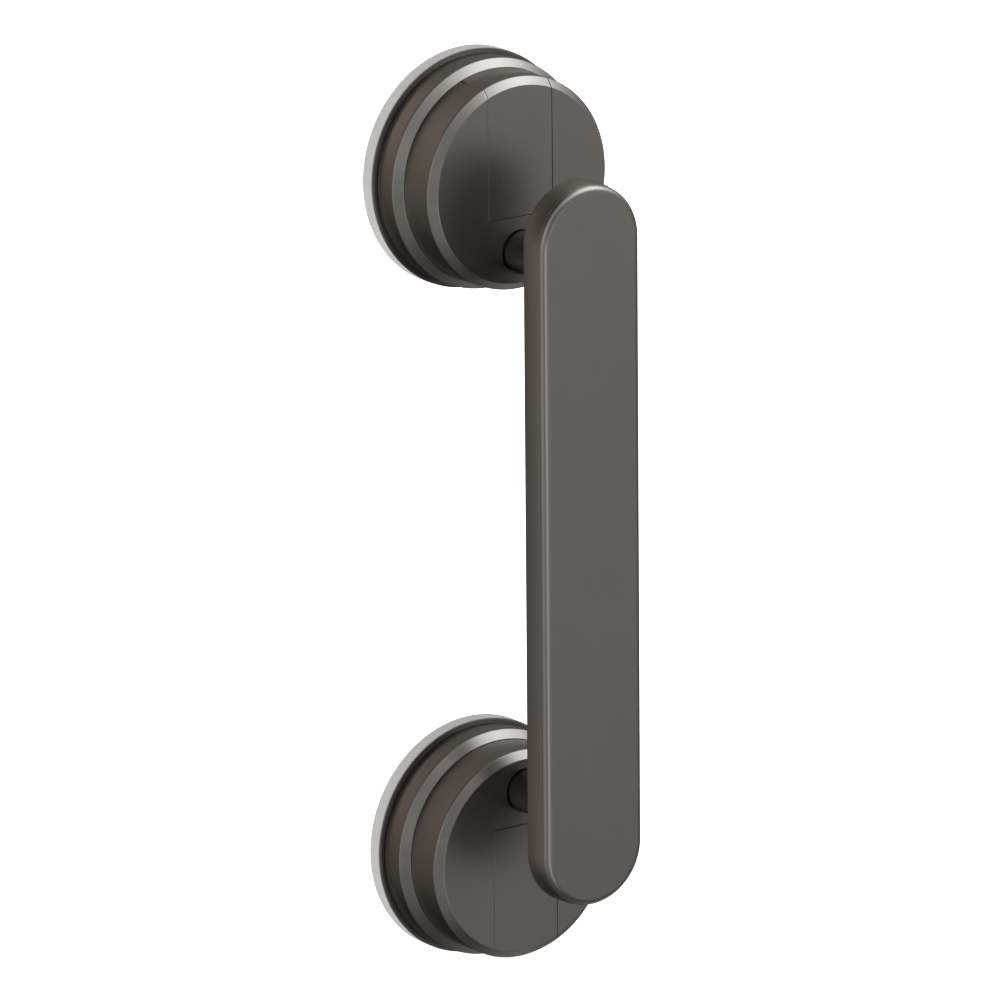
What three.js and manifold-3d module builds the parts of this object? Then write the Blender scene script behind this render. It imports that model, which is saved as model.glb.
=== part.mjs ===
// Suction grab bar: a flat hand bar held off the wall by two lever-locked suction heads.
//
// Frame, in millimetres: +Z up along the bar, +Y into the wall, -Y out into the room.
// The origin is the middle of the whole bar's bounding box, midway between the suction heads.
// The wall plane is at y = +WALL_Y and the front of the bar at y = -WALL_Y.
//
// Pieces are drawn with the wall at y = 0. A "height" is the distance off the wall, which is -Y;
// "back" and "front" are a piece's heights nearest to and furthest from the wall.
// Each head is drawn once, with its axis along Y and +Z away from the middle of the bar.
// The top head stands at z = +HEAD_Z; the bottom head is the same, turned half a turn about Y.
//
// How a head works: a soft cup is moulded round the flange of a steel pull stud. The stud passes
// up through the base plate, and a cross pin through its eye carries the lever. Cams on the
// lever's two ears bear on a slide washer on the base plate. Shut, the lever lies flush in the cap
// and holds the cup's middle 2.4 mm further off the wall. Flipped out, the cams let it go.

import * as THREE from 'three';
import { mergeVertices } from 'three/addons/utils/BufferGeometryUtils.js';
import Module from 'manifold-3d';

const wasm = await Module();
wasm.setup();

// ---------------------------------------------------------------- driving dimensions
// _X and _Z are places or half widths; _R is a radius; BACK, FRONT, TOP and SEAT are heights.
const HEAD_Z = 114;            // head centres above and below the origin
const AXIS = [0, 0];           // [x, z] of the head's axis
const LARGE_SEGMENTS = 40;     // facets round a large turned part

const CUP_R = 40;
const CUP_RIM_FRONT = 5.2;
const SEAL_R = 33.5;           // inside edge of the flat sealing ring

const STUD_FLANGE_R = 6.4;
const STUD_FLANGE_BACK = 5.0;
const STUD_FLANGE_FRONT = 6.8;
const STUD_R = 3.7;
const STUD_BORE_R = 4.4;       // bore for the stud in the base plate and washer

const FLANGE_R = 39.9;         // rim of the base plate
const FLANGE_BACK = 5.45;
const FLANGE_FRONT = 5.9;
const BASE_TOP = 8.6;          // joint: the base stops just behind it, the ring's lip in front
const HUB_X = 12;              // raised block in the middle of the base plate
const HUB_Z = 8.4;
const HUB_TOP = 12.8;
const WASHER_TOP = 14.0;

const RING_R = 38.4;           // step ring round the cap
const RING_BORE_R = 35.8;
const RING_BACK = 6.1;
const RING_SHOULDER = 14.95;
const RING_FRONT = 17.55;
const NOTCH_R = 36.35;         // finger notch in the ring, under the lever's lip
const NOTCH_BACK = 16.1;

const CAP_R = 35.5;
const CAP_BACK = 10.4;
const CAP_SHOULDER = 30.45;
const CAP_FRONT = 32.75;
const CAP_FACE_R = 32.9;
const CAP_WALL = 2.0;
const CAP_ROOF = 2.0;
const CUT_FRONT = 34;          // cuts through the cap's face run out to here

const SLOT_X = 12.85;          // lever slot in the cap, half width
const SLOT_END = -10.8;        // z of its straight inner end
const LEVER_X = 12.55;
const LEVER_END = -10.45;
const LEVER_LIP = 17.95;       // back edge of the lever's skirt
const LEVER_ROOF = 2.2;
const LEVER_FLARE = 0.45;      // how far the skirt's back edge spreads
const PIN_HEIGHT = 22.5;       // cross pin, lever shut
const PIN_R = 1.9;
const PIN_HOLE_R = 2.15;
const CAM_R = 7.1;             // eccentric cam on each ear; 2.4 of lift over 80 degrees
const CAM_Z = 1.43;
const CAM_OFFSET = -1.2;       // cam centre's height from the pin
const EAR_INNER = 4.6;
const EAR_OUTER = 8.6;

const BOSS_R = 3.2;            // screw bosses inside the cap
const BOSS_X = 21;
const BOSS_Z = 14;
const BOSS_PLACES = [          // [x, z]
  [-BOSS_X, -BOSS_Z], [-BOSS_X, BOSS_Z], [BOSS_X, -BOSS_Z], [BOSS_X, BOSS_Z],
];
const SCREW_R = 1.4;
const SCREW_HEAD_R = 2.6;
const SCREW_SEAT = 7.2;

const POST_Z = -22.4;          // post, towards the middle of the bar
const POST_PLACE = [0, POST_Z];
const POST_R = 7.0;
const POST_BORE_R = 3.0;
const POST_SEAT_R = 7.4;
const POST_SEAT = 31.35;
const POST_BACK = 31.55;
const POST_FRONT = 61.4;
const POST_SCREW_SEAT = 64.2;

const BAR_END_Z = 101.95;      // centres of the hand bar's round ends
const BAR_X = 20.4;            // half width near the back, from which the side is measured
const BAR_BACK = 61.6;
const BAR_SEAM = 70.0;
const SEAM_X = 19.3;           // half width at the seam: the sides curve in to it
const PLATE_X = 19.15;
const PLATE_BACK = 70.3;
const PLATE_FRONT = 72.3;
const BAR_POST_PLACES = [-1, 1].map((side) => [0, side * (HEAD_Z + POST_Z)]);

const WALL_Y = PLATE_FRONT / 2;

// ---------------------------------------------------------------- materials
const MATERIALS = {
  shell: { color: 0x67625e, roughness: 0.38, metalness: 0.75 },
  base: { color: 0x4a4743, roughness: 0.5, metalness: 0.3 },
  cup: { color: 0xc2beba, roughness: 0.45, metalness: 0 },
  steel: { color: 0xb4b6b8, roughness: 0.3, metalness: 1 },
  nylon: { color: 0xe6e2d8, roughness: 0.5, metalness: 0 },
  brass: { color: 0xc9a45a, roughness: 0.35, metalness: 1 },
  zinc: { color: 0xc8cacc, roughness: 0.35, metalness: 1 },
};

// ---------------------------------------------------------------- solid helpers
// Ranges are [from, to] pairs, and places are [x, z] pairs.
const across = (half) => [-half, half];
const size = ([from, to]) => to - from;
const middle = ([from, to]) => (from + to) / 2;
const join = (...bodies) => bodies.reduce((a, b) => a.add(b));

function makeSolid(vertices, triangles) {
  const mesh = new wasm.Mesh({ numProp: 3, vertProperties: vertices, triVerts: triangles });
  return new wasm.Manifold(mesh);
}

// A closed three.js geometry as a solid with its faces pointing out.
function solid(geometry) {
  const loose = geometry.index ? geometry.toNonIndexed() : geometry;
  const bare = new THREE.BufferGeometry().setAttribute('position', loose.getAttribute('position'));
  const merged = mergeVertices(bare, 1e-4);
  const index = merged.index.array;
  const kept = [];
  for (let i = 0; i < index.length; i += 3) {
    const [a, b, c] = index.slice(i, i + 3);
    if (a !== b && b !== c && c !== a) kept.push(a, b, c);
  }
  const vertices = merged.attributes.position.array;
  const made = makeSolid(vertices, new Uint32Array(kept));
  if (made.volume() > 0) return made;
  for (let i = 0; i < kept.length; i += 3) {
    [kept[i + 1], kept[i + 2]] = [kept[i + 2], kept[i + 1]];
  }
  return makeSolid(vertices, new Uint32Array(kept));
}

function geometryOf(body) {
  const { vertProperties, triVerts } = body.getMesh();
  const geometry = new THREE.BufferGeometry();
  geometry.setAttribute('position', new THREE.BufferAttribute(new Float32Array(vertProperties), 3));
  geometry.setIndex(new THREE.BufferAttribute(new Uint32Array(triVerts), 1));
  geometry.computeVertexNormals();
  return geometry;
}

// A turned body about Y. The profile is [radius, height] pairs; one off the axis is closed.
function turned(profile, segments = LARGE_SEGMENTS) {
  const points = profile.map(([radius, height]) => new THREE.Vector2(radius, -height));
  if (points[0].x > 0 || points.at(-1).x > 0) points.push(points[0].clone());
  return solid(new THREE.LatheGeometry(points, segments));
}

function block(xRange, zRange, heights) {
  const box = new THREE.BoxGeometry(size(xRange), size(heights), size(zRange));
  box.translate(middle(xRange), -middle(heights), middle(zRange));
  return solid(box);
}

// A round bar along Y.
function boss([x, z], radius, back, front, segments = 20) {
  const bar = new THREE.CylinderGeometry(radius, radius, front - back, segments);
  bar.translate(x, -(back + front) / 2, z);
  return solid(bar);
}

// A round bar along X.
function crossBar(z, height, radius, xRange, segments) {
  const bar = new THREE.CylinderGeometry(radius, radius, size(xRange), segments);
  bar.rotateZ(Math.PI / 2);
  bar.translate(middle(xRange), -height, z);
  return solid(bar);
}

// A prism along X with its outline in [z, height].
function sidePrism(outline, xRange) {
  const shape = new THREE.Shape(outline.map(([z, height]) => new THREE.Vector2(z, height)));
  const prism = new THREE.ExtrudeGeometry(shape, { depth: size(xRange), bevelEnabled: false });
  // shape x -> Z, shape y -> -Y, extrusion -> X
  prism.applyMatrix4(new THREE.Matrix4().set(
    0, 0, 1, xRange[0],
    0, -1, 0, 0,
    1, 0, 0, 0,
    0, 0, 0, 1,
  ));
  return solid(prism);
}

// A racetrack body from a half profile of [half width, height] pairs, from the axis out and back
// to the axis: turned at each round end and drawn straight between them.
function racetrack(profile, segments = 28) {
  const end = turned(profile, segments);
  const shape = new THREE.Shape([
    ...profile.map(([x, height]) => new THREE.Vector2(x, -height)),
    ...profile.slice(1, -1).reverse().map(([x, height]) => new THREE.Vector2(-x, -height)),
  ]);
  const straight = new THREE.ExtrudeGeometry(shape, { depth: 2 * BAR_END_Z, bevelEnabled: false });
  straight.translate(0, 0, -BAR_END_Z);
  return join(
    solid(straight),
    end.translate([0, 0, BAR_END_Z]),
    end.translate([0, 0, -BAR_END_Z]),
  );
}

// ---------------------------------------------------------------- parts of one head
// The cup, with a pocket for the stud's flange and a hole for its shaft.
function suctionCup() {
  const body = turned([
    [0, 2.6], [12, 2.5], [25, 1.5], [SEAL_R, 0], [CUP_R, 0], [CUP_R, CUP_RIM_FRONT],
    [29, CUP_RIM_FRONT], [9.6, 6.6], [8.5, 8.0], [0, 8.0],
  ]);
  const radialGap = 0.3;
  const endGap = 0.2;
  const pocketFront = STUD_FLANGE_FRONT + endGap;
  return body
    .subtract(boss(AXIS, STUD_FLANGE_R + radialGap, STUD_FLANGE_BACK - endGap, pocketFront, 24))
    .subtract(boss(AXIS, STUD_R + radialGap, pocketFront - 0.1, 9));
}

function pullStud() {
  const flange = boss(AXIS, STUD_FLANGE_R, STUD_FLANGE_BACK, STUD_FLANGE_FRONT, 24);
  const shaft = boss(AXIS, STUD_R, STUD_FLANGE_FRONT - 0.1, 20);
  const eye = crossBar(0, PIN_HEIGHT, 4.5, across(4.2), 20);
  const pinHole = crossBar(0, PIN_HEIGHT, PIN_HOLE_R, across(6), 16);
  return join(flange, shaft, eye).subtract(pinHole);
}

function basePlate() {
  const rimTop = BASE_TOP - 0.2;
  let body = turned([
    [STUD_BORE_R, 8.4], [11, 8.4], [29, FLANGE_BACK], [FLANGE_R, FLANGE_BACK],
    [FLANGE_R, FLANGE_FRONT], [35.5, FLANGE_FRONT], [35.5, rimTop], [26, rimTop],
    [14, 10.4], [STUD_BORE_R, 10.4],
  ]);
  const hub = block(across(HUB_X), across(HUB_Z), [9.4, HUB_TOP])
    .subtract(boss(AXIS, STUD_BORE_R + 0.1, 8, 14));
  body = body.add(hub);
  for (const place of BOSS_PLACES) {
    const screwHole = boss(place, SCREW_R + 0.3, 4, 10, 10);
    const headRecess = boss(place, SCREW_HEAD_R + 0.4, 4, SCREW_SEAT + 0.1, 14);
    const bossRecess = boss(place, BOSS_R + 0.35, 8.3, 12, 14);
    body = body.subtract(screwHole).subtract(headRecess).subtract(bossRecess);
  }
  return body;
}

function slideWasher() {
  return block(across(10.5), across(7.6), [HUB_TOP + 0.1, WASHER_TOP])
    .subtract(boss(AXIS, STUD_BORE_R, 12, 15, 24));
}

// The ring, with a lip inside its back edge and the finger notch at its outer end.
function stepRing() {
  const lipR = 33.8;
  const lipBack = BASE_TOP + 0.1;
  const lipFront = 10.1;
  const recessR = 35.9;
  const body = turned([
    [RING_R, RING_BACK], [RING_R, RING_SHOULDER], [RING_BORE_R, RING_FRONT],
    [RING_BORE_R, lipFront], [lipR, lipFront], [lipR, lipBack], [recessR, lipBack],
    [recessR, RING_BACK],
  ]);
  const notch = turned([[34, NOTCH_BACK], [NOTCH_R, NOTCH_BACK], [NOTCH_R, 19], [34, 19]])
    .intersect(block(across(LEVER_X + 0.4), [20, 40], [15, 20]));
  return body.subtract(notch);
}

// The skin that the cap and the lever share, open at the back.
function capSkin({ back, roof, flare = 0 }) {
  const edge = flare
    ? [[CAP_R, back + 3.0], [CAP_R + flare * 0.4, back + 1.2], [CAP_R + flare, back]]
    : [[CAP_R, back]];
  return turned([
    [0, CAP_FRONT], [CAP_FACE_R, CAP_FRONT], [CAP_R, CAP_SHOULDER], ...edge,
    [CAP_R - CAP_WALL, back], [CAP_R - CAP_WALL, CAP_SHOULDER - 0.6],
    [CAP_FACE_R - 0.8, CAP_FRONT - roof], [0, CAP_FRONT - roof],
  ]);
}

// The well's cheeks and end wall, the post's boss and the screw bosses, kept inside the cap.
function capFill() {
  const wellEndZ = -16.2;
  const wellHeights = [10.8, 31.5];
  const fillFront = 31.5;
  const cheek = 1.5;
  let fill = join(
    block([SLOT_X, SLOT_X + cheek], [wellEndZ, 34], wellHeights),
    block([-SLOT_X - cheek, -SLOT_X], [wellEndZ, 34], wellHeights),
    block(across(SLOT_X + 0.5), [wellEndZ, -15.0], wellHeights),
    boss(POST_PLACE, 7.3, 16, fillFront),
  );
  for (const place of BOSS_PLACES) fill = fill.add(boss(place, BOSS_R, 8.9, fillFront, 14));
  const inside = turned([[0, CAP_BACK], [34.2, CAP_BACK], [34.2, 30], [32.3, 31.6], [0, 31.6]]);
  // The block lets the screw bosses stand out behind the cap.
  return fill.intersect(inside.add(block(across(30), across(20), [8.8, 12])));
}

function capHousing() {
  const slotBack = 29.6;
  const lipCut = LEVER_LIP - 0.3;
  const slot = sidePrism([
    [SLOT_END, CUT_FRONT], [SLOT_END, CAP_FRONT - 0.05], [-11.85, 31.7], [-12.7, 30.6],
    [-13.4, slotBack], [29, slotBack], [29, lipCut], [40, lipCut], [40, CUT_FRONT],
  ], across(SLOT_X));
  let body = capSkin({ back: CAP_BACK, roof: CAP_ROOF }).subtract(slot).add(capFill());
  for (const place of BOSS_PLACES) {
    body = body.subtract(boss(place, SCREW_R + 0.2, 8, 21, 10));
  }
  const postSeat = boss(POST_PLACE, POST_SEAT_R, POST_SEAT, CUT_FRONT, 28);
  const insertPocket = boss(POST_PLACE, 3.8, 20.4, 32, 16);
  const screwClearance = boss(POST_PLACE, 2.8, 15, 22, 14);
  return body.subtract(postSeat).subtract(insertPocket).subtract(screwClearance);
}

// The lever's skin, with an ear, a round cam and a stiffening rib on each side.
function lever() {
  let body = capSkin({ back: LEVER_LIP, roof: LEVER_ROOF, flare: LEVER_FLARE })
    .intersect(block(across(LEVER_X), [LEVER_END, 40], [LEVER_LIP - 1, CUT_FRONT]));
  const ribOutline = [[7, 25.5], [22, 28.2], [33.8, 27.4], [33.8, 31], [7, 31]];
  for (const side of [-1, 1]) {
    const onSide = (inner, outer) => (side > 0 ? [inner, outer] : [-outer, -inner]);
    const ear = onSide(EAR_INNER, EAR_OUTER);
    body = body.add(crossBar(CAM_Z, PIN_HEIGHT + CAM_OFFSET, CAM_R, ear, 28));
    body = body.add(block(ear, [-5.2, 8.2], [PIN_HEIGHT, 31]));
    body = body.add(sidePrism(ribOutline, onSide(5.8, 7.4)));
  }
  return body.subtract(crossBar(0, PIN_HEIGHT, PIN_HOLE_R, across(12), 16));
}

const pivotPin = () => crossBar(0, PIN_HEIGHT, PIN_R, across(9.4), 16);

// Pan-head screw with a cross recess, driven from the wall side.
function baseScrew([x, z]) {
  const headHeight = 1.2;
  const length = 11;
  const recessLong = 1.5;                  // half length of each arm of the cross
  const recessShort = recessLong * 0.24;   // half width of each arm
  const headBack = SCREW_SEAT - headHeight;
  const recess = [headBack - 1, headBack + headHeight * 0.6];
  const around = (centre, half) => [centre - half, centre + half];
  return join(
    boss([x, z], SCREW_HEAD_R, headBack, SCREW_SEAT, 14),
    boss([x, z], SCREW_R, SCREW_SEAT - 0.2, SCREW_SEAT + length, 10),
  )
    .subtract(block(around(x, recessLong), around(z, recessShort), recess))
    .subtract(block(around(x, recessShort), around(z, recessLong), recess));
}

function threadedInsert() {
  const barrel = boss(POST_PLACE, 3.5, 20.6, 29.6, 16);
  const nose = boss(POST_PLACE, 3.2, 29.5, 30.6, 16);
  return join(barrel, nose).subtract(boss(POST_PLACE, 2.65, 19, 32, 14));
}

function post() {
  return turned([
    [POST_BORE_R, POST_BACK], [POST_R, POST_BACK], [POST_R, POST_FRONT], [POST_BORE_R, POST_FRONT],
  ], 28).translate([0, 0, POST_Z]);
}

// Socket-head screw from the bar, through the post, into the insert.
function postScrew() {
  const seat = POST_SCREW_SEAT;
  const screwHead = boss(POST_PLACE, 4.2, seat, seat + 3.2);
  const shank = boss(POST_PLACE, 2.3, 21.2, seat + 0.2, 14);
  const hexSocket = boss(POST_PLACE, 2.2, seat + 1.2, seat + 4, 6);
  return join(screwHead, shank).subtract(hexSocket);
}

// ---------------------------------------------------------------- the hand bar
// Ribs and post bosses on the floor of the back shell.
function barFill() {
  const back = 62.6;
  const ribs = [back, 66.6];
  let fill = block(across(1), across(110), ribs);
  for (const z of [-60, -30, 0, 30, 60]) {
    fill = fill.add(block(across(18.2), [z - 0.9, z + 0.9], ribs));
  }
  for (const place of BAR_POST_PLACES) fill = fill.add(boss(place, 7.2, back, 66.9));
  return fill.intersect(racetrack([[0, back], [17.6, back], [19.2, 65.0], [18.6, 68], [0, 68]], 20));
}

// Tray with a flat back and sides that curve in towards the front, closed by the front plate.
function barBackShell() {
  const floor = 63.8;
  const hollowFront = BAR_SEAM + 2;
  const outside = racetrack([
    [0, BAR_BACK], [BAR_X - 1.0, BAR_BACK], [BAR_X - 0.38, BAR_BACK + 0.25],
    [BAR_X - 0.1, BAR_BACK + 0.9], [BAR_X - 0.17, BAR_BACK + 2.9], [BAR_X - 0.38, BAR_BACK + 4.9],
    [BAR_X - 0.7, BAR_BACK + 6.7], [SEAM_X, BAR_SEAM], [0, BAR_SEAM],
  ]);
  const hollow = racetrack([
    [0, floor], [17.4, floor], [18.4, 65.0], [17.5, hollowFront], [0, hollowFront],
  ], 20);
  let body = outside.subtract(hollow).add(barFill());
  for (const place of BAR_POST_PLACES) {
    body = body.subtract(boss(place, 2.75, 60, 66, 14));
    body = body.subtract(boss(place, 4.6, POST_SCREW_SEAT - 0.2, 72));
  }
  return body;
}

// Plate with a rounded front edge and a thin skirt that reaches back into the tray.
function barFrontPlate() {
  const plate = racetrack([
    [0, PLATE_BACK], [PLATE_X, PLATE_BACK], [PLATE_X, PLATE_FRONT - 1.65],
    [PLATE_X - 0.13, PLATE_FRONT - 1.02], [PLATE_X - 0.48, PLATE_FRONT - 0.48],
    [PLATE_X - 1.02, PLATE_FRONT - 0.13], [PLATE_X - 1.65, PLATE_FRONT], [0, PLATE_FRONT],
  ]);
  const slab = (x, back, front) => racetrack([[0, back], [x, back], [x, front], [0, front]], 20);
  const skirt = slab(16.7, 67.4, PLATE_BACK + 0.5).subtract(slab(15.4, 60, PLATE_BACK + 0.1));
  return plate.add(skirt);
}

// ---------------------------------------------------------------- the assembly
function mesh(name, body, look) {
  const made = new THREE.Mesh(
    geometryOf(body),
    new THREE.MeshStandardMaterial(MATERIALS[look]),
  );
  made.name = name;
  return made;
}

const HEAD_PARTS = [           // [name, builder, material]
  ['suction_cup', suctionCup, 'cup'],
  ['pull_stud', pullStud, 'steel'],
  ['base_plate', basePlate, 'base'],
  ['slide_washer', slideWasher, 'nylon'],
  ['step_ring', stepRing, 'shell'],
  ['cap_housing', capHousing, 'shell'],
  ['lever', lever, 'shell'],
  ['pivot_pin', pivotPin, 'steel'],
  ['threaded_insert', threadedInsert, 'brass'],
  ['post', post, 'shell'],
  ['post_screw', postScrew, 'zinc'],
];

function head(prefix, z) {
  const group = new THREE.Group();
  for (const [name, build, look] of HEAD_PARTS) group.add(mesh(`${prefix}_${name}`, build(), look));
  BOSS_PLACES.forEach((place, i) => {
    group.add(mesh(`${prefix}_base_screw_${i + 1}`, baseScrew(place), 'zinc'));
  });
  group.position.set(0, WALL_Y, z);
  return group;
}

function handBar() {
  const group = new THREE.Group();
  group.add(
    mesh('bar_back_shell', barBackShell(), 'shell'),
    mesh('bar_front_plate', barFrontPlate(), 'shell'),
  );
  group.position.set(0, WALL_Y, 0);
  return group;
}

const bottom = head('bottom', -HEAD_Z);
bottom.rotation.y = Math.PI;

const grabBar = new THREE.Group();
grabBar.name = 'suction_grab_bar';
grabBar.add(head('top', HEAD_Z), bottom, handBar());

export default grabBar;
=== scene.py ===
"""A hand bar standing off a wall on two round suction-cup heads, each with a flip lever.

Scene frame: metres, +Z up along the bar, wall plane at y = +WALL_Y, the front facing -Y.
Head frame: millimetres (x, v, d). x runs across, v away from the middle of the bar and d is the
height above the wall. The bottom head is the top one turned half a turn about Y.
The bar uses the same x and d, with v measured up from its middle.
"""
import math

import bmesh
import bpy
import numpy as np
from mathutils import Matrix


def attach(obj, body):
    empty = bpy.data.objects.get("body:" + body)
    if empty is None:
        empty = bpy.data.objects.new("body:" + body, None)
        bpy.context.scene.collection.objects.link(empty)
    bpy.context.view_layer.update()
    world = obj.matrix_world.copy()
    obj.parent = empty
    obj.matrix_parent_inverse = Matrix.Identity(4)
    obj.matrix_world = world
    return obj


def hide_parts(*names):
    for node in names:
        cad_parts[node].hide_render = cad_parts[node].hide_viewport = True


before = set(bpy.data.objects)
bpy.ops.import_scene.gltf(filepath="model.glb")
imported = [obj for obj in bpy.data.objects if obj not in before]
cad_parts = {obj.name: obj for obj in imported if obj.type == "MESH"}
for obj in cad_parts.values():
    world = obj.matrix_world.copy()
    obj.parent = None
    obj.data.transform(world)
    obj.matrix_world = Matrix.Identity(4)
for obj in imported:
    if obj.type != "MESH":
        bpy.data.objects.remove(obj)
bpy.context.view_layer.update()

MM = 0.001
WALL_Y = 36.15
HEAD_Z = 114.0
HEADS = (("top", 1), ("bottom", -1))  # name, side


# ------------------------------------------------------------------ mesh helpers
def place(points, side):
    """Points in mm to scene metres. side is 1 for the top head, -1 for the bottom, None for the bar."""
    sign, middle = (1, 0.0) if side is None else (side, side * HEAD_Z)
    x, v, d = points.T
    return np.stack([sign * x, WALL_Y - d, middle + sign * v], 1) * MM


def rounded(points, closed=False, segments=4, hold=0.12):
    """Round the corners of a polyline of (a, b, radius) points, with a holding point beside each round.

    Returns rows of a, b and the unit normal on the left of the direction of travel.
    """
    count = len(points)
    corners = [np.array(point[:2], float) for point in points]
    out = []
    for i, corner in enumerate(corners):
        radius = points[i][2] if len(points[i]) > 2 else 0
        if not closed and i in (0, count - 1):
            along = corners[1] - corner if i == 0 else corner - corners[i - 1]
            along /= np.linalg.norm(along)
            out.append((*corner, -along[1], along[0]))
            continue
        before = corner - corners[i - 1]
        after = corners[(i + 1) % count] - corner
        before_length, after_length = np.linalg.norm(before), np.linalg.norm(after)
        before /= before_length
        after /= after_length
        cross = before[0] * after[1] - before[1] * after[0]
        turn = math.atan2(cross, float(before @ after))
        if radius <= 0 or abs(turn) < 1e-4:
            mitre = np.array([-before[1] - after[1], before[0] + after[0]])
            mitre /= np.linalg.norm(mitre)
            out.append((*corner, *mitre))
            continue
        # the round may take just under half of either neighbouring edge
        trim = radius * math.tan(abs(turn) / 2)
        trim = min(trim, 0.46 * before_length, 0.46 * after_length)
        radius = trim / math.tan(abs(turn) / 2)
        sign = 1 if turn > 0 else -1
        start = corner - before * trim
        normal = np.array([-before[1], before[0]])
        centre = start + normal * radius * sign
        gap = min(hold, 0.3 * min(before_length, after_length))
        out.append((*(start - before * gap), *normal))
        steps = max(2, int(math.ceil(segments * abs(turn) / (math.pi / 2) + 1)))
        for k in range(steps + 1):
            cos, sin = math.cos(turn * k / steps), math.sin(turn * k / steps)
            turned = np.array([normal[0] * cos - normal[1] * sin, normal[0] * sin + normal[1] * cos])
            out.append((*(centre - turned * radius * sign), *turned))
        out.append((*(corner + after * trim + after * gap), -after[1], after[0]))
    return np.array(out)


def ring_points(radius, d, count=256, middle_v=0.0):
    """A circle round the d axis, or round a parallel line at middle_v."""
    angle = np.linspace(0, 2 * np.pi, count, endpoint=False)
    v = middle_v + radius * np.cos(angle)
    return np.stack([radius * np.sin(angle), v, np.full(count, d)], 1)


def circle(middle_a, middle_b, radius, count=32):
    angles = np.linspace(0, 2 * np.pi, count, endpoint=False)
    return [(middle_a + radius * math.cos(t), middle_b + radius * math.sin(t)) for t in angles]


def rounded_box(half_x, half_v, radius, steps=4):
    points = []
    x, v = half_x - radius, half_v - radius
    for corner_x, corner_v, start in ((x, -v, -90), (x, v, 0), (-x, v, 90), (-x, -v, 180)):
        for k in range(steps + 1):
            angle = math.radians(start + 90 * k / steps)
            points.append((corner_x + radius * math.cos(angle), corner_v + radius * math.sin(angle)))
    return points


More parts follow.
